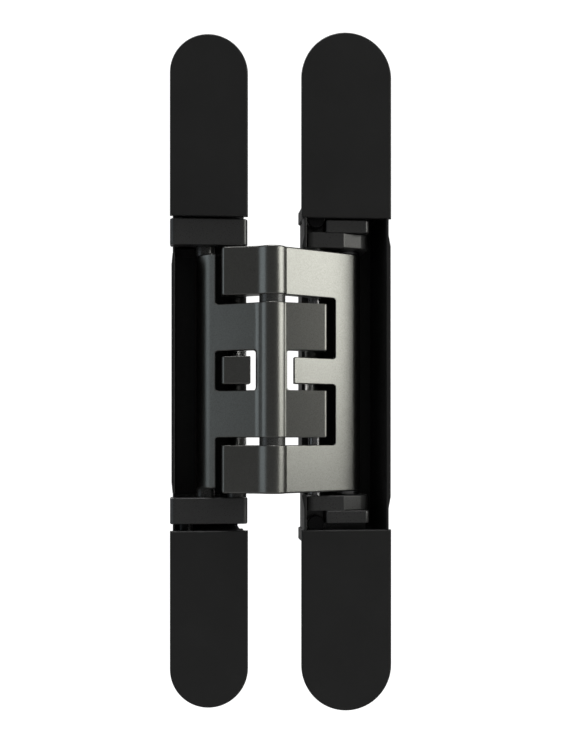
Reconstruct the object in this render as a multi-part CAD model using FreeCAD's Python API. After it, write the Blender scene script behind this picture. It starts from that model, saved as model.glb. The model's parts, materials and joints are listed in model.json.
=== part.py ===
import FreeCAD, Part
import math
import os
from FreeCAD import Vector

# A concealed door hinge, shown opened by half a turn, with both housings in one plane.
# X runs across the door edge, Y goes into the mortise, Z is up. Millimetres.
# The origin is the centre of the frame housing's face. The face plane of both housings is y = 0.

# Housings
frame_width = 20.5
frame_length = 177.0
frame_depth = 26.0
door_width = 24.0
door_length = 180.0
door_depth = 28.0
frame_rim_inset = 0.4
door_rim_inset = 0.15
neck_inset = 0.7
cavity_inset = 1.3
floor_thickness = 2.0
shoulder_length = 3.0
shoulder_round = 2.0
low_wall_top = 8.8
end_depth = 13.0
end_inset_front = 0.2
end_inset_rear = 1.45
cup_end_wall = 4.1
cup_draft = 0.3
cup_corner = 2.0
relief_inset = 1.55

# The wall of the door housing next to the knuckle leans in, as far as the folded link leaves room
lean_front = 0.9
lean_rear = 1.65
lean_rear_y = 16.0
lean_wall = 0.75
lean_corner = 3.0
bearing_relief_y = 6.5

# Covers and screws
cover_thickness = 1.5
cover_gap = 0.1
cover_edge_round = 0.45
peg_radius = 1.5
peg_length = 5.0
inner_peg_step = 1.4
outer_peg_inset = 4.0
pocket_clearance = 0.05
screw_hole_radius = 2.4
countersink_radius = 4.7
countersink_depth = 2.3
inner_screw_step = 9.0
outer_screw_step = 7.0

# The knuckle line, and the two fixed pivots
pin_gap_frame = 6.0
pin_gap_door = 8.2
pin_proud = 4.8
pivot_depth = 5.5
pivot_inset_frame = 2.75
pivot_inset_door = 4.05
closed_gap = 5.0
closed_pin_proud = 1.7

# Pins, bushes and washers
pivot_pin_radius = 1.75
centre_pin_radius = 2.0
slide_pin_radius = 1.5
bush_radius = 2.5
washer_radius = 3.4
slide_washer_radius = 3.1
frame_washer_thickness = 1.4
centre_washer_thickness = 2.0
slide_washer_thickness = 0.9
centre_pin_recess = 0.4
turn_clearance = 0.05
slot_clearance = 0.15
stations = 16

# Links
knuckle_radius = 3.8
knuckle_hollow_left = 4.0
knuckle_hollow_right = 0.6
knuckle_hollow_rear = 1.5
leg_slope = math.radians(29.5)
finger_slope = math.radians(16.0)
face_offset = 2.8
leg_thickness = 2.8
link_half = 32.0
spine_short = 1.0
spine_root_round = 1.0
soft_corner = 1.0
tip_corner = 1.5
crisp_corner = 0.4
window_corner = 0.7
inner_bar_high = 17.5
inner_bar_low = 5.2
stub_half = 3.6
tongue_half = 3.5
stub_gap = 5.7
edge_round = 0.5
barrel_radius = 2.6
edge_crossing = 4.5
lobe_step = 0.5
finger_root_x = 3.1
finger_root_y = 2.5

# The frame-side link, called the inner link, has its long leg in the frame housing
inner_spine_inner = 14.6
inner_spine_outer = 19.5
inner_slide_x = 17.05
inner_slide_y = 12.3
inner_corner_round = 7.0
inner_finger_end = 14.5
inner_window_left = 4.2
inner_window_right = 3.75

# The door-side link, called the outer link, has its long leg in the door housing
outer_spine_inner = 18.6
outer_spine_outer = 25.2
outer_window_edge = 17.4
outer_slide_x = 22.0
outer_slide_y = 14.8
outer_corner_round = 5.5
outer_finger_end = 13.05

# Blocks that carry the frame pivot. They slide on a rib when the height is set
block_thickness = 7.0
block_front = 1.6
block_corner = 1.4
block_edge_round = 0.4
flange_rear = 6.5
travel_up = 1.0
travel_down = 2.0
pin_cover = 2.4
slide_cover = 2.6
rib_half = 2.0
rib_height = 1.5
height_screw_x = -6.2
height_screw_y = 8.0
height_screw_radius = 2.0
height_screw_engaged = 3.6
height_neck_web = 4.0
height_head_length = 4.0
height_head_radius = 3.0
height_socket_radius = 1.4
height_socket_depth = 2.5
height_key_room = 1.9
thread_clearance = 0.08

# Bearings that carry the door pivot. The door housing slides on them when the side gap is set
tongue_thickness = 4.0
bearing_base_height = 6.2
bearing_left = 1.45
bearing_lean = 0.9
bearing_lean_y = 18.0
bearing_right = 18.4
bearing_front = 1.2
tongue_round = 2.0
tongue_edge_round = 0.3
facet_width = 7.0
facet_turn = 2.6
facet_depth = 3.4
base_front = 8.2
boss_front = 6.0
plate_left = 6.7
plate_front = 1.0
plate_thickness = 3.3
plate_corner = 1.2
clamp_x_inset = 4.1
clamp_z_step = 3.7
clamp_head_radius = 2.4
clamp_head_front = 2.0
clamp_shank_radius = 1.5
clamp_socket_radius = 1.25
clamp_socket_depth = 1.8
seat_gap = 0.1
end_gap = 0.2
overrun = 1.0
hair = 0.01

# The openings between the covers, and where the wider part of each cup ends
gap_over_block = 0.35
gap_under_block = 1.65
rim_short_top = 1.15
rim_long_bottom = 0.15
door_shoulder_step = 1.3
low_wall_step = 0.7

# Worked out from the sizes above, from the middle outwards
outer_bar_low = inner_bar_high + centre_washer_thickness
inner_spine_half = link_half - spine_short
centre_pin_half = link_half - centre_pin_recess
block_low = link_half + frame_washer_thickness
block_high = block_low + block_thickness
frame_pin_half = block_high - pin_cover
inner_slide_half = block_high - slide_cover
frame_cavity_top = block_high + travel_up + seat_gap
frame_cavity_bottom = -block_high - travel_down - seat_gap
bearing_low = link_half + slide_washer_thickness + seat_gap
tongue_top = bearing_low + tongue_thickness
bearing_high = tongue_top + bearing_base_height
plate_high = tongue_top + plate_thickness
clamp_z = tongue_top + clamp_z_step
door_pin_half = tongue_top - end_gap
door_cavity_half = bearing_high + seat_gap
deep_half = cup_end_wall - frame_cavity_bottom
inner_peg_z = deep_half + inner_peg_step
inner_screw_z = inner_peg_z + inner_screw_step
height_screw_tip = block_high - height_screw_engaged
height_screw_neck = height_neck_web - frame_cavity_bottom
height_screw_end = height_screw_neck + height_head_length
height_pocket_end = height_screw_end + height_key_room
opening_top = block_high + gap_over_block
opening_bottom = -block_high - gap_under_block
frame_rim_top = link_half - rim_short_top
frame_rim_bottom = -link_half - rim_long_bottom
door_shoulder = link_half + door_shoulder_step
low_wall_half = link_half + low_wall_step
frame_relief_x = frame_width / 2 - relief_inset
frame_edge = frame_width / 2
pin_x = frame_edge + pin_gap_frame
pin_y = -pin_proud
door_edge = pin_x + pin_gap_door
door_centre = door_edge + door_width / 2
frame_pivot_x = frame_edge - pivot_inset_frame
door_pivot_x = door_edge + pivot_inset_door
frame_floor = frame_depth - floor_thickness
door_floor = door_depth - floor_thickness
cover_seat = cover_thickness + cover_gap
clamp_x = door_edge + clamp_x_inset
beyond = 100.0


def turned(x, y, angle):
    c = math.cos(angle)
    s = math.sin(angle)
    return x * c - y * s, x * s + y * c


def swing(pivot_x, drop_closed):
    """The angle through which the knuckle turns about a fixed pivot from open to closed."""
    across = pin_x - pivot_x
    drop = pivot_depth + pin_proud
    reach = math.hypot(across, drop)
    side = math.copysign(math.sqrt(reach ** 2 - drop_closed ** 2), across)
    opened = math.atan2(drop, abs(across))
    closed = math.pi - math.atan2(drop_closed, abs(side))
    return closed - opened


frame_swing = swing(frame_pivot_x, pivot_depth + closed_pin_proud)
door_swing = swing(door_pivot_x, pivot_depth + closed_gap - closed_pin_proud)
centre_swing = frame_swing + door_swing - math.pi


def slide_place(pivot_x, swing_angle, slide_x, slide_y, share):
    """Where a slide pin stands in its housing's frame, at a share of the way from open to closed."""
    side = 1 if pivot_x > pin_x else -1
    dx, dy = turned(pin_x - pivot_x, pin_y - pivot_depth, side * swing_angle * share)
    lean = side * (swing_angle - centre_swing) * share
    ex, ey = turned(side * slide_x, slide_y, lean)
    return pivot_x + dx + ex, pivot_depth + dy + ey


def box(x0, x1, y0, y1, z0, z1):
    return Part.makeBox(x1 - x0, y1 - y0, z1 - z0, Vector(x0, y0, z0))


def upright(x, y, z0, z1, radius):
    return Part.makeCylinder(radius, z1 - z0, Vector(x, y, z0))


def across_face(x, z, y0, y1, radius):
    return Part.makeCylinder(radius, y1 - y0, Vector(x, y0, z), Vector(0, 1, 0))


def rounded_wire(corners, z):
    """A closed outline from (x, y, radius) corners, with an arc at each corner that has a radius."""
    count = len(corners)
    points = [Vector(x, y, z) for x, y, r in corners]
    ends = []
    for i in range(count):
        here = points[i]
        back = points[i - 1] - here
        ahead = points[(i + 1) % count] - here
        radius = corners[i][2]
        if radius == 0:
            ends.append((here, None, here))
            continue
        half = back.getAngle(ahead) / 2
        back.normalize()
        ahead.normalize()
        reach = radius / math.tan(half)
        middle = back + ahead
        middle.normalize()
        centre = here + middle * (radius / math.sin(half))
        ends.append((here + back * reach, centre - middle * radius, here + ahead * reach))
    edges = []
    for i in range(count):
        start, mid, end = ends[i]
        if mid is not None:
            edges.append(Part.Arc(start, mid, end).toShape())
        following = ends[(i + 1) % count][0]
        if (following - end).Length > 1e-6:
            edges.append(Part.LineSegment(end, following).toShape())
    return Part.Wire(edges)


def prism(corners, z0, z1):
    return Part.Face(rounded_wire(corners, z0)).extrude(Vector(0, 0, z1 - z0))


def facing(corners, y0, y1):
    """A prism through the face plane, from (x, z, radius) corners."""
    return prism(corners, -y1, -y0).rotated(Vector(0, 0, 0), Vector(1, 0, 0), 90)


def mirrored_in_z(shape):
    return shape.mirror(Vector(0, 0, 0), Vector(0, 0, 1))


def fused(shapes):
    whole = shapes[0]
    for shape in shapes[1:]:
        whole = whole.fuse(shape)
    return whole.removeSplitter()


def softened(shape, radius, wanted):
    """The shape with a round on every edge that the test wants."""
    edges = [e for e in shape.Edges if wanted(e)]
    return shape.makeFillet(radius, edges)


def level_edge(edge, z_values):
    box_of = edge.BoundBox
    return box_of.ZLength < 1e-4 and any(abs(box_of.ZMin - z) < 1e-4 for z in z_values)


# Link outlines, about the knuckle line. The leg is drawn towards +x and the finger towards -x
def front_y(x, slope):
    return (x * math.sin(slope) - face_offset) / math.cos(slope)


def meeting(one, other):
    """Where two lines cross. Each is the angle of its outward normal from -y, and its distance."""
    (a, p), (b, q) = one, other
    turn = math.sin(b - a)
    x = (q * math.cos(a) - p * math.cos(b)) / turn
    y = (q * math.sin(a) - p * math.sin(b)) / turn
    return x, y


def knuckle_corners(side_a, side_b):
    """The corners where the knuckle rises from two flat sides, each (normal, distance, hollow radius)."""
    tangents = []
    for way, (normal, distance, hollow) in ((-1, side_a), (1, side_b)):
        rise = math.acos((distance + hollow) / (knuckle_radius + hollow))
        tangents.append((normal + way * rise, knuckle_radius))
    first = meeting(side_a[:2], tangents[0])
    top = meeting(tangents[0], tangents[1])
    last = meeting(tangents[1], side_b[:2])
    return [(*first, side_a[2]), (*top, knuckle_radius), (*last, side_b[2])]


def leg_corners(spine_inner, spine_outer, slide_y, corner_round):
    half = (spine_outer - spine_inner) / 2
    end_y = slide_y + half
    rear = leg_thickness / math.cos(leg_slope)
    return [
        (spine_outer, front_y(spine_outer, leg_slope), corner_round),
        (spine_outer, end_y, half - hair),
        (spine_inner, end_y, half - hair),
        (spine_inner, front_y(spine_inner, leg_slope) + rear, spine_root_round),
    ]


def finger_corners(end_x, pivot_x, pivot_y, edge_x):
    lobe = pivot_x - barrel_radius
    outline = [
        (max(lobe, edge_x), edge_crossing, crisp_corner),
        (lobe, pivot_y + lobe_step, crisp_corner),
        (pivot_x, pivot_y + barrel_radius, soft_corner),
        (pivot_x + barrel_radius / 2, pivot_y + barrel_radius, soft_corner),
        (max(end_x, pivot_x + barrel_radius), pivot_y, tip_corner),
        (end_x, front_y(end_x, finger_slope), soft_corner),
    ]
    return [(-x, y, r) for x, y, r in outline]


def link_outline(leg, finger, leg_hollow, finger_hollow):
    """The whole section of a link: leg, knuckle and finger in one line, with hollows beside the knuckle."""
    front = knuckle_corners((-finger_slope, face_offset, finger_hollow), (leg_slope, face_offset, leg_hollow))
    edge_x, edge_y, edge_radius = finger[0]
    climb = math.atan2(edge_y - finger_root_y, -edge_x - finger_root_x)
    finger_rear = finger_root_y * math.cos(climb) - finger_root_x * math.sin(climb)
    rear = knuckle_corners(
        (math.pi + leg_slope, leg_thickness - face_offset, knuckle_hollow_rear),
        (math.pi - climb, finger_rear, knuckle_hollow_rear),
    )
    return front + leg + rear + finger


def both_ways(shape):
    return [shape, mirrored_in_z(shape)]


def window(x0, x1, z0, z1):
    """A cutter for an opening in a link, seen from the front, with rounded corners."""
    r = window_corner
    return facing([(x0, z0, r), (x1, z0, r), (x1, z1, r), (x0, z1, r)], -beyond, beyond)


def inner_link():
    leg = leg_corners(inner_spine_inner, inner_spine_outer, inner_slide_y, inner_corner_round)
    pivot_x = door_pivot_x - pin_x
    pivot_y = pivot_depth - pin_y
    finger = finger_corners(inner_finger_end, pivot_x, pivot_y, pin_gap_door + door_rim_inset)
    outline = link_outline(leg, finger, knuckle_hollow_left, knuckle_hollow_right)
    link = prism(outline, -inner_spine_half, inner_spine_half)
    link = softened(link, edge_round, lambda e: level_edge(e, (-inner_spine_half, inner_spine_half)))
    for cut in both_ways(window(-beyond, inner_spine_inner, inner_bar_high, beyond)):
        link = link.cut(cut)
    link = link.cut(window(inner_window_left, inner_spine_inner, -inner_bar_low, inner_bar_low))
    link = link.cut(window(-beyond, -inner_window_right, -inner_bar_low, inner_bar_low))
    barrel = upright(-pivot_x, pivot_y, -inner_bar_high, inner_bar_high, barrel_radius)
    link = fused([link, barrel])
    link = link.cut(upright(0, 0, -beyond, beyond, centre_pin_radius + turn_clearance))
    link = link.cut(upright(-pivot_x, pivot_y, -beyond, beyond, pivot_pin_radius + turn_clearance))
    link = link.cut(upright(inner_slide_x, inner_slide_y, -beyond, beyond, slide_pin_radius))
    link = link.mirror(Vector(0, 0, 0), Vector(1, 0, 0))
    link.translate(Vector(pin_x, pin_y, 0))
    return link


def outer_link():
    leg = leg_corners(outer_spine_inner, outer_spine_outer, outer_slide_y, outer_corner_round)
    pivot_x = pin_x - frame_pivot_x
    pivot_y = pivot_depth - pin_y
    finger = finger_corners(outer_finger_end, pivot_x, pivot_y, pin_gap_frame + frame_rim_inset)
    outline = link_outline(leg, finger, knuckle_hollow_right, knuckle_hollow_left)
    link = prism(outline, -link_half, link_half)
    link = softened(link, edge_round, lambda e: level_edge(e, (-link_half, link_half)))
    link = link.cut(box(-stub_gap, stub_gap, -beyond, beyond, -outer_bar_low, outer_bar_low))
    for cut in both_ways(window(0, outer_window_edge, tongue_half, outer_bar_low)):
        link = link.cut(cut)
    for cut in both_ways(window(-beyond, 0, stub_half, outer_bar_low)):
        link = link.cut(cut)
    barrel = upright(-pivot_x, pivot_y, -link_half, link_half, barrel_radius)
    link = fused([link, barrel])
    link = link.cut(upright(0, 0, -beyond, beyond, centre_pin_radius))
    link = link.cut(upright(-pivot_x, pivot_y, -beyond, beyond, pivot_pin_radius + turn_clearance))
    link = link.cut(upright(outer_slide_x, outer_slide_y, -beyond, beyond, slide_pin_radius))
    link.translate(Vector(pin_x, pin_y, 0))
    return link


def slot(pivot_x, swing_angle, slide_x, slide_y, z0, z1):
    """The curved slot that a slide bush runs in: its path is the one that the two links give it."""
    half = bush_radius + slot_clearance
    middle = []
    for i in range(stations + 1):
        share = -hair + (1 + 2 * hair) * i / stations
        middle.append(Vector(*slide_place(pivot_x, swing_angle, slide_x, slide_y, share), z0))
    path = Part.BSplineCurve()
    path.interpolate(middle)
    left = []
    right = []
    for i in range(stations + 1):
        at = path.FirstParameter + (path.LastParameter - path.FirstParameter) * i / stations
        along = path.tangent(at)[0]
        out = Vector(-along.y, along.x, 0)
        left.append(path.value(at) + out * half)
        right.append(path.value(at) - out * half)
    one = Part.BSplineCurve()
    one.interpolate(left)
    other = Part.BSplineCurve()
    other.interpolate(right)
    tip = path.value(path.LastParameter) + path.tangent(path.LastParameter)[0] * half
    tail = path.value(path.FirstParameter) - path.tangent(path.FirstParameter)[0] * half
    edges = [
        one.toShape(),
        Part.Arc(left[-1], tip, right[-1]).toShape(),
        other.toShape(),
        Part.Arc(right[0], tail, left[0]).toShape(),
    ]
    return Part.Face(Part.Wire(Part.__sortEdges__(edges))).extrude(Vector(0, 0, z1 - z0))


def outer_peg_z(length, width):
    return length / 2 - width / 2 + outer_peg_inset


def screw_holes(centre_x, width, length):
    tools = []
    outer_screw_z = outer_peg_z(length, width) - outer_screw_step
    for z in (-outer_screw_z, -inner_screw_z, inner_screw_z, outer_screw_z):
        tools.append(across_face(centre_x, z, 0, end_depth + overrun, screw_hole_radius))
        sink = Part.makeCone(
            countersink_radius, screw_hole_radius, countersink_depth,
            Vector(centre_x, cover_seat, z), Vector(0, 1, 0),
        )
        tools.append(sink)
        tools.append(across_face(centre_x, z, 0, cover_seat, countersink_radius))
    return tools


def side_outline(centre_x, half, rim_inset, rim_low, rim_high):
    """A housing's outline in the face plane: full width along the rim, a narrower neck at each end."""
    step = neck_inset - rim_inset
    edge = []
    for z, way in ((rim_low, -1), (rim_high, 1)):
        shoulder = [
            (half - rim_inset, z, shoulder_round),
            (half - neck_inset, z + way * shoulder_length, shoulder_round),
            (half - neck_inset, way * deep_half, 0),
        ]
        if way < 0:
            shoulder.reverse()
        edge.extend(shoulder)
    right = [(centre_x + x, z, r) for x, z, r in edge]
    left = [(centre_x - x, z, r) for x, z, r in reversed(edge)]
    return right + left


def stadium_wire(centre_x, width, length, y):
    """An outline with half-round ends, in the face plane."""
    r = width / 2
    z = length / 2 - r
    low = [Vector(centre_x - r, y, -z), Vector(centre_x, y, -z - r), Vector(centre_x + r, y, -z)]
    high = [Vector(centre_x + r, y, z), Vector(centre_x, y, z + r), Vector(centre_x - r, y, z)]
    edges = [
        Part.Arc(*low).toShape(),
        Part.LineSegment(low[2], high[0]).toShape(),
        Part.Arc(*high).toShape(),
        Part.LineSegment(high[2], low[0]).toShape(),
    ]
    return Part.Wire(edges)


def housing_ends(centre_x, width, length):
    """The shallow ends that take the screws. They taper towards the rear, as a casting does."""
    insets = ((cover_seat, end_inset_front), (end_depth, end_inset_rear))
    wires = [stadium_wire(centre_x, width - 2 * i, length - 2 * i, y) for y, i in insets]
    ends = Part.makeLoft(wires, True, True)
    return ends.cut(box(centre_x - width, centre_x + width, -1, beyond, opening_bottom, opening_top))


def housing(centre_x, width, length, depth, outline, section, rim, cavities):
    """A cast housing: a tapered end above and below for the screws, and a deep cup between them."""
    cup = facing(outline, 0, depth).common(prism(section, -deep_half, deep_half))
    for z0, z1 in ((-beyond, rim[0]), (rim[1], beyond)):
        cup = cup.cut(box(centre_x - width, centre_x + width, -1, cover_seat, z0, z1))
    whole = fused([housing_ends(centre_x, width, length), cup])
    for cavity in cavities:
        whole = whole.cut(cavity)
    for tool in screw_holes(centre_x, width, length):
        whole = whole.cut(tool)
    for z in (inner_peg_z, outer_peg_z(length, width)):
        for side in (-1, 1):
            hole = across_face(centre_x, side * z, 0, cover_seat + peg_length, peg_radius + pocket_clearance)
            whole = whole.cut(hole)
    return whole


def low_wall(centre_x, width, inner_side):
    """What is cut from the side wall next to the knuckle, where the links pass over it."""
    start = width / 2 - lean_rear - lean_wall - overrun
    edges = (centre_x + inner_side * start, centre_x + inner_side * width)
    return box(min(edges), max(edges), -1, low_wall_top, -low_wall_half, low_wall_half)


def cover(centre_x, width, length, edge_z):
    """The upper cover plate, with two pegs that press into the housing."""
    plate = Part.Face(stadium_wire(centre_x, width, length, 0)).extrude(Vector(0, cover_thickness, 0))
    plate = plate.cut(box(centre_x - width, centre_x + width, -1, beyond, -length, edge_z))
    plate = softened(plate, cover_edge_round, lambda e: e.BoundBox.YMax < hair)
    pegs = []
    peg_end = cover_seat + peg_length - end_gap
    for z in (inner_peg_z, outer_peg_z(length, width)):
        pegs.append(across_face(centre_x, z, cover_thickness / 2, peg_end, peg_radius))
    return fused([plate] + pegs)


def open_pocket(x, y, z0, z1, radius):
    """A round pocket along z that is open to the front."""
    return upright(x, y, z0, z1, radius).fuse(box(x - radius, x + radius, 0, y, z0, z1))


def frame_housing():
    rim = (frame_rim_bottom, frame_rim_top)
    outline = side_outline(
        0, frame_edge, frame_rim_inset, rim[0] + shoulder_length, rim[1] - shoulder_length
    )
    section = [
        (-frame_edge, 0, 0),
        (frame_edge, 0, 0),
        (frame_edge - cup_draft, frame_depth, cup_corner),
        (cup_draft - frame_edge, frame_depth, cup_corner),
    ]
    inner = frame_edge - cavity_inset
    cavity = box(-inner, inner, -1, frame_floor, frame_cavity_bottom, frame_cavity_top)
    whole = housing(0, frame_width, frame_length, frame_depth, outline, section, rim, [cavity])
    ends = ((rim[1], frame_cavity_top, deep_half), (frame_cavity_bottom, rim[0], -deep_half))
    for z0, z1, end in ends:
        # The block's flange lies on the outer side wall, and its other end stands clear of the cup
        whole = whole.cut(box(-frame_width, 0, -1, flange_rear + seat_gap, z0, z1))
        whole = whole.cut(box(frame_relief_x, frame_width, -1, beyond, z0, z1))
        outer = box(frame_relief_x, frame_width, end_depth, beyond, min(z0, end), max(z1, end))
        whole = whole.cut(outer)
    shank_room = height_screw_radius + pocket_clearance
    head_room = height_head_radius + pocket_clearance
    head_start = height_screw_neck - seat_gap
    for pocket in (
        both_ways(open_pocket(height_screw_x, height_screw_y, block_low, height_screw_end, shank_room))
        + both_ways(open_pocket(height_screw_x, height_screw_y, head_start, height_pocket_end, head_room))
    ):
        whole = whole.cut(pocket)
    whole = whole.cut(low_wall(0, frame_width, 1))
    rib_top = frame_floor - rib_height
    rib = box(-rib_half, rib_half, rib_top, frame_floor + overrun, frame_cavity_bottom, frame_cavity_top)
    rib = rib.cut(box(-frame_width, frame_width, -beyond, beyond, *rim))
    return fused([whole, rib])


def door_housing():
    outline = side_outline(door_centre, door_width / 2, door_rim_inset, -door_shoulder, door_shoulder)
    right = door_edge + door_width
    lean = door_edge + lean_rear
    section = [
        (door_edge, 0, 0),
        (right, 0, 0),
        (right - cup_draft, door_depth, cup_corner),
        (lean, door_depth, lean_corner),
        (lean, lean_rear_y, 0),
        (door_edge + lean_front, low_wall_top, 0),
    ]
    inner_right = right - cavity_inset
    between = box(
        lean + lean_wall, inner_right, -1, door_floor, -low_wall_half, low_wall_half
    )
    ends = both_ways(box(
        door_edge + cavity_inset, inner_right, -1, door_floor, low_wall_half, door_cavity_half
    ))
    reliefs = both_ways(box(
        -beyond, door_edge + bearing_left + bearing_lean, bearing_relief_y, beyond,
        low_wall_half, door_cavity_half,
    ))
    whole = housing(
        door_centre, door_width, door_length, door_depth, outline, section,
        (opening_bottom, opening_top), [between] + ends + reliefs,
    )
    return whole.cut(low_wall(door_centre, door_width, -1))


def frame_block():
    """The upper block, which slides up and down on a rib and carries the pivot pin and the slot."""
    between = frame_edge - cavity_inset - seat_gap
    outline = [
        (-frame_edge, block_front, block_corner),
        (frame_edge, block_front, block_corner),
        (frame_edge, frame_floor - seat_gap, soft_corner),
        (-between, frame_floor - seat_gap, soft_corner),
        (-between, flange_rear, 0),
        (-frame_edge, flange_rear, crisp_corner),
    ]
    block = prism(outline, block_low, block_high)
    front = block_front + block_corner + 0.1
    block = softened(
        block, block_edge_round, lambda e: level_edge(e, (block_low, block_high)) and e.BoundBox.YMax < front
    )
    block = block.cut(upright(frame_pivot_x, pivot_depth, 0, frame_pin_half + end_gap, pivot_pin_radius))
    block = block.cut(
        slot(frame_pivot_x, frame_swing, inner_slide_x, inner_slide_y, 0, inner_slide_half + end_gap)
    )
    groove_half = rib_half + seat_gap
    groove_top = frame_floor - rib_height - seat_gap
    block = block.cut(box(-groove_half, groove_half, groove_top, beyond, 0, beyond))
    thread = upright(height_screw_x, height_screw_y, 0, beyond, height_screw_radius + thread_clearance)
    return block.cut(thread)


def hexagon_socket(x, y, z, radius, depth):
    """A six-sided socket that opens towards +z at the height z."""
    corners = [
        (x + radius * math.cos(math.pi * i / 3), y + radius * math.sin(math.pi * i / 3), 0)
        for i in range(6)
    ]
    return prism(corners, z - depth, z + overrun)


def height_screw():
    shank = upright(
        height_screw_x, height_screw_y, height_screw_tip, height_screw_neck + overrun, height_screw_radius
    )
    head = upright(
        height_screw_x, height_screw_y, height_screw_neck, height_screw_end, height_head_radius
    )
    head = softened(head, block_edge_round, lambda e: level_edge(e, (height_screw_end,)))
    socket = hexagon_socket(
        height_screw_x, height_screw_y, height_screw_end, height_socket_radius, height_socket_depth
    )
    return fused([shank, head]).cut(socket)


def bearing():
    """The upper bearing of the door side: a tongue that holds the pivot pin and the slot, and a base."""
    left = door_edge + bearing_left
    right = door_edge + bearing_right
    rear = door_floor - seat_gap
    lean = left + bearing_lean
    lean_start = base_front + overrun
    tongue = [
        (left, bearing_front, tongue_round),
        (right - facet_width, bearing_front, crisp_corner),
        (right - facet_turn, bearing_front + facet_depth, soft_corner),
        (right, base_front, soft_corner),
        (right, rear, soft_corner),
        (lean, rear, soft_corner),
        (lean, bearing_lean_y, 0),
        (left, lean_start, 0),
    ]
    low = prism(tongue, bearing_low, tongue_top)
    front = base_front + soft_corner
    low = softened(
        low, tongue_edge_round, lambda e: level_edge(e, (bearing_low,)) and e.BoundBox.YMax < front
    )
    base = prism(
        [(left, base_front, 0), (right, base_front, 0), (right, rear, soft_corner),
         (lean, rear, soft_corner), (lean, bearing_lean_y, 0), (left, lean_start, 0)],
        tongue_top, bearing_high,
    )
    boss_right = door_edge + plate_left - seat_gap
    boss = box(left, boss_right, boss_front, base_front + overrun, tongue_top, bearing_high)
    whole = fused([low, base, boss])
    whole = whole.cut(upright(door_pivot_x, pivot_depth, 0, tongue_top, pivot_pin_radius))
    whole = whole.cut(slot(door_pivot_x, door_swing, outer_slide_x, outer_slide_y, 0, tongue_top))
    return whole.cut(across_face(clamp_x, clamp_z, 0, beyond, clamp_shank_radius))


def clamp_plate():
    left = door_edge + plate_left
    right = door_edge + bearing_right - end_gap
    outline = [
        (left, plate_front, crisp_corner),
        (right, plate_front, plate_corner),
        (right, base_front, 0),
        (left, base_front, 0),
    ]
    return prism(outline, tongue_top, plate_high)


def clamp_screw():
    head = across_face(clamp_x, clamp_z, clamp_head_front, boss_front, clamp_head_radius)
    head = softened(head, block_edge_round, lambda e: e.BoundBox.YMax < clamp_head_front + hair)
    shank = across_face(clamp_x, clamp_z, boss_front - overrun, door_floor - seat_gap, clamp_shank_radius)
    socket = hexagon_socket(clamp_x, -clamp_z, -clamp_head_front, clamp_socket_radius, clamp_socket_depth)
    socket = socket.rotated(Vector(0, 0, 0), Vector(1, 0, 0), 90)
    return fused([head, shank]).cut(socket)


def washer(x, y, z0, z1, inner, outer):
    return upright(x, y, z0, z1, outer).cut(upright(x, y, z0, z1, inner))


def pair(shape):
    return Part.makeCompound(both_ways(shape))


def main():
    inner_slide = (pin_x - inner_slide_x, pin_y + inner_slide_y)
    outer_slide = (pin_x + outer_slide_x, pin_y + outer_slide_y)
    frame_pivot = (frame_pivot_x, pivot_depth)
    door_pivot = (door_pivot_x, pivot_depth)
    nodes = {
        "frame_housing": frame_housing(),
        "frame_top_cover": cover(0, frame_width, frame_length, opening_top),
        "frame_bottom_cover": mirrored_in_z(cover(0, frame_width, frame_length, -opening_bottom)),
        "frame_top_block": frame_block(),
        "frame_bottom_block": mirrored_in_z(frame_block()),
        "height_screws": pair(height_screw()),
        "frame_pivot_pin": upright(*frame_pivot, -frame_pin_half, frame_pin_half, pivot_pin_radius),
        "frame_pivot_washers": pair(
            washer(*frame_pivot, link_half, block_low, pivot_pin_radius, barrel_radius)
        ),
        "inner_link": inner_link(),
        "inner_slide_pin": upright(*inner_slide, -inner_slide_half, inner_slide_half, slide_pin_radius),
        "inner_slide_bushes": pair(
            washer(*inner_slide, inner_spine_half, inner_slide_half, slide_pin_radius, bush_radius)
        ),
        "outer_link": outer_link(),
        "outer_slide_pin": upright(*outer_slide, -door_pin_half, door_pin_half, slide_pin_radius),
        "outer_slide_bushes": pair(
            washer(*outer_slide, bearing_low, door_pin_half, slide_pin_radius, bush_radius)
        ),
        "outer_slide_washers": pair(
            washer(*outer_slide, link_half, bearing_low - seat_gap, slide_pin_radius, slide_washer_radius)
        ),
        "centre_pin": upright(pin_x, pin_y, -centre_pin_half, centre_pin_half, centre_pin_radius),
        "centre_washers": pair(
            washer(pin_x, pin_y, inner_bar_high, outer_bar_low, centre_pin_radius, washer_radius)
        ),
        "door_pivot_pin": upright(*door_pivot, -door_pin_half, door_pin_half, pivot_pin_radius),
        "door_top_bearing": bearing(),
        "door_bottom_bearing": mirrored_in_z(bearing()),
        "door_top_clamp_plate": clamp_plate(),
        "door_bottom_clamp_plate": mirrored_in_z(clamp_plate()),
        "clamp_screws": pair(clamp_screw()),
        "door_housing": door_housing(),
        "door_top_cover": cover(door_centre, door_width, door_length, opening_top),
        "door_bottom_cover": mirrored_in_z(cover(door_centre, door_width, door_length, -opening_bottom)),
    }
    os.makedirs("parts", exist_ok=True)
    for name, shape in nodes.items():
        solids = shape.Solids
        print(name, len(solids), round(sum(s.Volume for s in solids), 1), shape.isValid())
        shape.exportStep("parts/" + name + ".step")
    print("swings in degrees", [round(math.degrees(a), 6) for a in (frame_swing, centre_swing, door_swing)])
    print("pivots", frame_pivot, (pin_x, pin_y), door_pivot)


main()
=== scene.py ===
import json
import math

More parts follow.
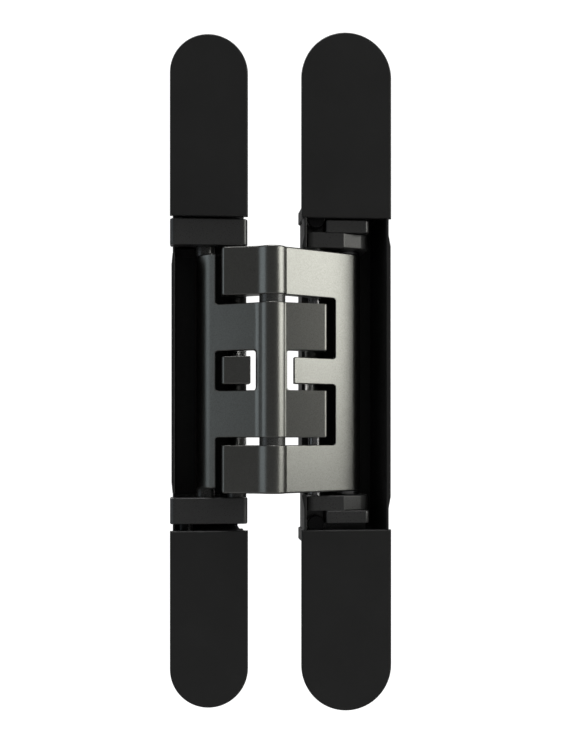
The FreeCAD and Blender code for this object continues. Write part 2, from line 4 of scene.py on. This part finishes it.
import bmesh
import bpy
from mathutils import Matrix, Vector


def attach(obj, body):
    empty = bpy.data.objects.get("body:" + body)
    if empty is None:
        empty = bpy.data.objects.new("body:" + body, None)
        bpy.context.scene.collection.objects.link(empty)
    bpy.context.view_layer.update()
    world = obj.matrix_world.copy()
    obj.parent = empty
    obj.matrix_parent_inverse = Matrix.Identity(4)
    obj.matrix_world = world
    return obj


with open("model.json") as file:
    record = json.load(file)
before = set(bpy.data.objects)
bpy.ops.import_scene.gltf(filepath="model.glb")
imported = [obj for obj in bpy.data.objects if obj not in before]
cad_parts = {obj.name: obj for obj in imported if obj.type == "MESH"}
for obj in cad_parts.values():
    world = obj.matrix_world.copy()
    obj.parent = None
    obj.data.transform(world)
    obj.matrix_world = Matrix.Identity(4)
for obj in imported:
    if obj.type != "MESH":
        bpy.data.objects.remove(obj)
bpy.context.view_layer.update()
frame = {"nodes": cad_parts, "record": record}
nodes = frame["nodes"]
scene = bpy.context.scene
scene.view_settings.view_transform = "Standard"

mm_per_metre = 1000
white = (1, 1, 1)


# Materials

# The span that most of a noise's values lie in, which is stretched to the wanted one
noise_low = 0.3
noise_high = 0.7


def principled(name):
    """A new material, its tree and its shader."""
    material = bpy.data.materials.new(name)
    material.use_nodes = True
    tree = material.node_tree
    return material, tree, tree.nodes["Principled BSDF"]


def noise(tree, scale, detail, stretch=(1, 1, 1)):
    """Noise in the object's own coordinates, in metres."""
    place = tree.nodes.new("ShaderNodeTexCoord")
    mapping = tree.nodes.new("ShaderNodeMapping")
    mapping.inputs["Scale"].default_value = stretch
    texture = tree.nodes.new("ShaderNodeTexNoise")
    texture.inputs["Scale"].default_value = scale
    texture.inputs["Detail"].default_value = detail
    tree.links.new(place.outputs["Object"], mapping.inputs["Vector"])
    tree.links.new(mapping.outputs["Vector"], texture.inputs["Vector"])
    return texture.outputs["Fac"]


def ranged(tree, value, low, high):
    """A noise as a number from low to high."""
    spread = tree.nodes.new("ShaderNodeMapRange")
    spread.inputs["From Min"].default_value = noise_low
    spread.inputs["From Max"].default_value = noise_high
    spread.inputs["To Min"].default_value = low
    spread.inputs["To Max"].default_value = high
    tree.links.new(value, spread.inputs["Value"])
    return spread.outputs["Result"]


def mixed(tree, value, dark, light):
    """A noise as a colour from dark to light."""
    ramp = tree.nodes.new("ShaderNodeValToRGB")
    first, last = ramp.color_ramp.elements
    first.position = noise_low
    first.color = (*dark, 1)
    last.position = noise_high
    last.color = (*light, 1)
    tree.links.new(value, ramp.inputs["Fac"])
    return ramp.outputs["Color"]


def finish(
    name, dark, light, rough, grain, relief,
    metallic=0.0, specular=0.5, blotch=60, stretch=(1, 1, 1),
):
    """A coated or bare surface: blotches of colour, uneven gloss and a fine grain in relief.

    The roughness has a lowest and a highest value. Grain and blotch are the scales of their noise.
    Relief is the height of the grain in metres.
    """
    material, tree, shader = principled(name)
    link = tree.links.new
    colour = mixed(tree, noise(tree, blotch, detail=4), dark, light)
    link(colour, shader.inputs["Base Color"])
    gloss = ranged(tree, noise(tree, grain, detail=3, stretch=stretch), *rough)
    link(gloss, shader.inputs["Roughness"])
    bump = tree.nodes.new("ShaderNodeBump")
    bump.inputs["Strength"].default_value = 1.0
    bump.inputs["Distance"].default_value = relief
    link(noise(tree, grain, detail=2, stretch=stretch), bump.inputs["Height"])
    link(bump.outputs["Normal"], shader.inputs["Normal"])
    shader.inputs["Metallic"].default_value = metallic
    shader.inputs["Specular IOR Level"].default_value = specular
    return material


finishes = {
    "cover_coat": dict(
        dark=(0.038, 0.038, 0.0385), light=(0.046, 0.046, 0.0465),
        rough=(0.36, 0.44), grain=4000, relief=0.000012,
    ),
    "housing_coat": dict(
        dark=(0.042, 0.042, 0.043), light=(0.052, 0.052, 0.053),
        rough=(0.32, 0.42), grain=3000, relief=0.00001,
    ),
    "block_coat": dict(
        dark=(0.068, 0.068, 0.0685), light=(0.080, 0.080, 0.0805),
        rough=(0.26, 0.34), grain=4500, relief=0.000006, specular=1.0,
    ),
    "link_coat": dict(
        dark=(0.28, 0.28, 0.265), light=(0.34, 0.34, 0.325),
        rough=(0.27, 0.33), grain=7000, relief=0.00002, metallic=1.0, blotch=2600,
    ),
    "pin_steel": dict(
        dark=(0.42, 0.42, 0.43), light=(0.52, 0.52, 0.53),
        rough=(0.18, 0.30), grain=6000, relief=0.000002, metallic=1.0, stretch=(1, 1, 0.1),
    ),
    "black_screw": dict(
        dark=(0.012, 0.012, 0.013), light=(0.020, 0.020, 0.021),
        rough=(0.25, 0.35), grain=3000, relief=0.000003, metallic=0.6,
    ),
    "slide_plastic": dict(
        dark=(0.085, 0.085, 0.082), light=(0.110, 0.110, 0.106),
        rough=(0.24, 0.32), grain=2500, relief=0.000005, specular=1.0,
    ),
    "washer_steel": dict(
        dark=(0.50, 0.50, 0.50), light=(0.60, 0.60, 0.60),
        rough=(0.15, 0.28), grain=6000, relief=0.000002, metallic=1.0,
    ),
}
materials = {name: finish(name, **values) for name, values in finishes.items()}

slot_of = {entry["node"]: entry["material_slot"] for entry in frame["record"]["subparts"]}
for name, node in nodes.items():
    node.data.materials.clear()
    node.data.materials.append(materials[slot_of[name]])


# Edges: the sharp edges of the castings and plates get a small round

sharp_turn = math.radians(32)
flat_turn = math.radians(0.5)
join_gap = 1e-7
weld_gap = 1e-6
round_steps = 3
large_faces_lead = 100


def inside(point, box):
    """Whether a point, or its mirror image in the upper half, lies in a box. All in millimetres."""
    low, high = box
    upper = (point[0], point[1], abs(point[2]))
    return all(low[i] <= upper[i] <= high[i] for i in range(3))


def sharp_edges(mesh, spared):
    """The ends of every edge that turns sharply, apart from the ones in a spared box."""
    joined = bmesh.new()
    joined.from_mesh(mesh)
    bmesh.ops.remove_doubles(joined, verts=joined.verts, dist=join_gap)
    found = set()
    for edge in joined.edges:
        if len(edge.link_faces) != 2 or edge.calc_face_angle() < sharp_turn:
            continue
        ends = [vert.co * mm_per_metre for vert in edge.verts]
        if any(all(inside(end, box) for end in ends) for box in spared):
            continue
        found.add(frozenset(tuple(vert.co) for vert in edge.verts))
    joined.free()
    return found


def even_normals(piece):
    """Keeps the flat faces flat beside a round."""
    normals = piece.modifiers.new("even_normals", "WEIGHTED_NORMAL")
    normals.weight = large_faces_lead


def rounded(name, width, spared):
    """Rounds a CAD piece's sharp edges with modifiers, and leaves its own mesh as it is."""
    node = nodes[name]
    mesh = node.data
    found = sharp_edges(mesh, spared)
    weights = mesh.attributes.new("bevel_weight_edge", "FLOAT", "EDGE")
    for edge in mesh.edges:
        ends = frozenset(tuple(mesh.vertices[i].co) for i in edge.vertices)
        weights.data[edge.index].value = 1.0 if ends in found else 0.0
    weld = node.modifiers.new("weld", "WELD")
    weld.merge_threshold = weld_gap
    flats = node.modifiers.new("flats", "DECIMATE")
    flats.decimate_type = "DISSOLVE"
    flats.angle_limit = flat_turn
    flats.delimit = {"SHARP"}
    bevel = node.modifiers.new("edge_rounds", "BEVEL")
    bevel.width = width
    bevel.segments = round_steps
    bevel.limit_method = "WEIGHT"
    bevel.use_clamp_overlap = False
    even_normals(node)


# Boxes, in millimetres, in which edges stay as they are, because a round would leave spikes there
link_ends = ((-60, -60, 30.3), (60, 60, 40))
inner_finger_back = ((24, 2.7, 0), (32, 12, 40))
outer_finger_back = ((3, 2.2, 0), (13.2, 14, 40))
tongue_end = ((41.5, 0, 36), (44, 9, 38))
bearing_foot = ((26, 19, 32), (28, 27, 44))

edge_rounds = {
    "inner_link": (0.0003, (link_ends, inner_finger_back)),
    "outer_link": (0.0003, (link_ends, outer_finger_back)),
    "frame_top_block": (0.0004, ()),
    "frame_bottom_block": (0.0004, ()),
    "door_top_bearing": (0.0002, (tongue_end, bearing_foot)),
    "door_bottom_bearing": (0.0002, (tongue_end, bearing_foot)),
    "door_top_clamp_plate": (0.00025, ()),
    "door_bottom_clamp_plate": (0.00025, ()),
    "frame_housing": (0.0002, ()),
    "door_housing": (0.0002, ()),
}
for name, (width, spared) in edge_rounds.items():
    rounded(name, width, spared)


# Facets: the outer corner of each bearing's tongue falls away in shallow steps. All in millimetres

facet_corners = [
    (35.4, 1.2), (40.6, 3.25), (42.2, 4.2), (42.9, 5.4), (43.1, 7.6), (42.6, 8.6), (38.0, 8.6), (35.4, 3.0),
]
tongue_low = 33.02
tongue_high = 36.98
facet_round = 0.3
facet_turn = math.radians(8)


def level_ring(shape, z):
    """The corners of the facets' outline at one height."""
    return [
        shape.verts.new((x / mm_per_metre, y / mm_per_metre, z / mm_per_metre)) for x, y in facet_corners
    ]


def tongue_facets(name, low, high):
    """The facets of one tongue, as a prism with rounded edges."""
    mesh = bpy.data.meshes.new(name)
    shape = bmesh.new()
    foot = level_ring(shape, low)
    head = level_ring(shape, high)
    shape.faces.new(foot)
    shape.faces.new(list(reversed(head)))
    count = len(facet_corners)
    for i in range(count):
        following = (i + 1) % count
        shape.faces.new((foot[i], head[i], head[following], foot[following]))
    bmesh.ops.recalc_face_normals(shape, faces=shape.faces)
    shape.to_mesh(mesh)
    shape.free()
    for face in mesh.polygons:
        face.use_smooth = True
    mesh.materials.append(materials["block_coat"])
    piece = bpy.data.objects.new(name, mesh)
    scene.collection.objects.link(piece)
    bevel = piece.modifiers.new("edge_rounds", "BEVEL")
    bevel.width = facet_round / mm_per_metre
    bevel.segments = round_steps
    bevel.angle_limit = facet_turn
    even_normals(piece)
    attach(piece, "door_carriage")


tongue_facets("door_top_tongue_facets", tongue_low, tongue_high)
tongue_facets("door_bottom_tongue_facets", -tongue_high, -tongue_low)


# Floor and backdrop: one pale sheet that curves up behind the hinge, white to the eye

seen_strength = 1.0
floor_bounce = 0.03
sky_bounce = 0.085

floor_z = -0.16
floor_front = -2.5
floor_half = 2.5
back_y = 0.9
back_top = 2.0
bend = 0.35
bend_steps = 24

paper_dark = (0.18, 0.18, 0.18)
paper_light = (0.20, 0.20, 0.20)
paper_rough = 0.9


def seen_or_bounced(tree, bounced):
    """Full strength where a surface is looked at, and another for the light that it gives off."""
    path = tree.nodes.new("ShaderNodeLightPath")
    strength = tree.nodes.new("ShaderNodeMapRange")
    strength.inputs["To Min"].default_value = bounced
    strength.inputs["To Max"].default_value = seen_strength
    tree.links.new(path.outputs["Is Camera Ray"], strength.inputs["Value"])
    return strength.outputs["Result"]


def sheet_mesh():
    """The floor, a quarter turn and the backdrop, in one strip."""
    profile = [(floor_front, floor_z)]
    for i in range(bend_steps + 1):
        turn = math.pi / 2 * i / bend_steps
        y = back_y - bend + bend * math.sin(turn)
        z = floor_z + bend - bend * math.cos(turn)
        profile.append((y, z))
    profile.append((back_y, back_top))
    verts = []
    for y, z in profile:
        verts.append((-floor_half, y, z))
        verts.append((floor_half, y, z))
    faces = [(2 * i, 2 * i + 1, 2 * i + 3, 2 * i + 2) for i in range(len(profile) - 1)]
    mesh = bpy.data.meshes.new("floor")
    mesh.from_pydata(verts, [], faces)
    for face in mesh.polygons:
        face.use_smooth = True
    return mesh


def floor_paper():
    """Plain paper with a faint unevenness."""
    material, tree, shader = principled("floor_paper")
    colour = mixed(tree, noise(tree, 3, detail=3), paper_dark, paper_light)
    tree.links.new(colour, shader.inputs["Base Color"])
    shader.inputs["Roughness"].default_value = paper_rough
    shader.inputs["Emission Color"].default_value = (*white, 1)
    tree.links.new(seen_or_bounced(tree, floor_bounce), shader.inputs["Emission Strength"])
    return material


sheet = bpy.data.objects.new("floor", sheet_mesh())
scene.collection.objects.link(sheet)
sheet.data.materials.append(floor_paper())


# Light: soft lamps a metre away, all aimed at the middle of the hinge

middle = Vector((0.018, 0, 0))
lamp_reach = 1.0
warm = (1.0, 1.0, 0.94)
cool = (0.80, 0.92, 1.0)


def round_about(azimuth, rise):
    """A lamp's place: degrees to the right of the hinge's front, and degrees up."""
    turn = math.radians(azimuth)
    lift = math.radians(rise)
    flat = math.cos(lift)
    return middle + lamp_reach * Vector((math.sin(turn) * flat, -math.cos(turn) * flat, math.sin(lift)))


def softbox(name, place, width, height, watts, colour=white):
    """A rectangular lamp, its sides in metres."""
    data = bpy.data.lights.new(name, "AREA")
    data.shape = "RECTANGLE"
    data.size = width
    data.size_y = height
    data.energy = watts
    data.color = colour
    lamp = bpy.data.objects.new(name, data)
    lamp.location = place
    lamp.rotation_euler = (middle - place).to_track_quat("-Z", "Y").to_euler()
    scene.collection.objects.link(lamp)


softbox("key", round_about(72, 14), 0.72, 0.54, 3.35, warm)
softbox("left", round_about(-78, 5), 0.60, 0.70, 0.64, cool)
softbox("top", round_about(0, 84), 0.50, 0.50, 3.0)
softbox("back_right", round_about(145, 45), 0.60, 0.60, 4.0)
softbox("back_left", round_about(-145, 45), 0.60, 0.60, 4.0)

world = bpy.data.worlds.new("studio")
world.use_nodes = True
sky = world.node_tree.nodes["Background"]
sky.inputs["Color"].default_value = (*white, 1)
world.node_tree.links.new(seen_or_bounced(world.node_tree, sky_bounce), sky.inputs["Strength"])
scene.world = world


# Camera: a little to the left of the faces' normal, level, with the framing raised by a shift

pixels_high = 750
pixels_per_metre = 3790
sensor_height = 36.0
distance = 0.300
yaw = math.radians(5.0)
aim = Vector((0.0188, 0, -0.016))

camera_data = bpy.data.cameras.new("camera")
camera_data.sensor_fit = "VERTICAL"
camera_data.sensor_height = sensor_height
camera_data.lens = sensor_height * pixels_per_metre * distance / pixels_high
camera_data.shift_x = 0.0007
camera_data.shift_y = 0.0757
camera_data.clip_start = 0.01
camera = bpy.data.objects.new("camera", camera_data)
camera.location = aim + distance * Vector((-math.sin(yaw), -math.cos(yaw), 0))
camera.rotation_euler = (math.pi / 2, 0, -yaw)
scene.collection.objects.link(camera)
scene.camera = camera
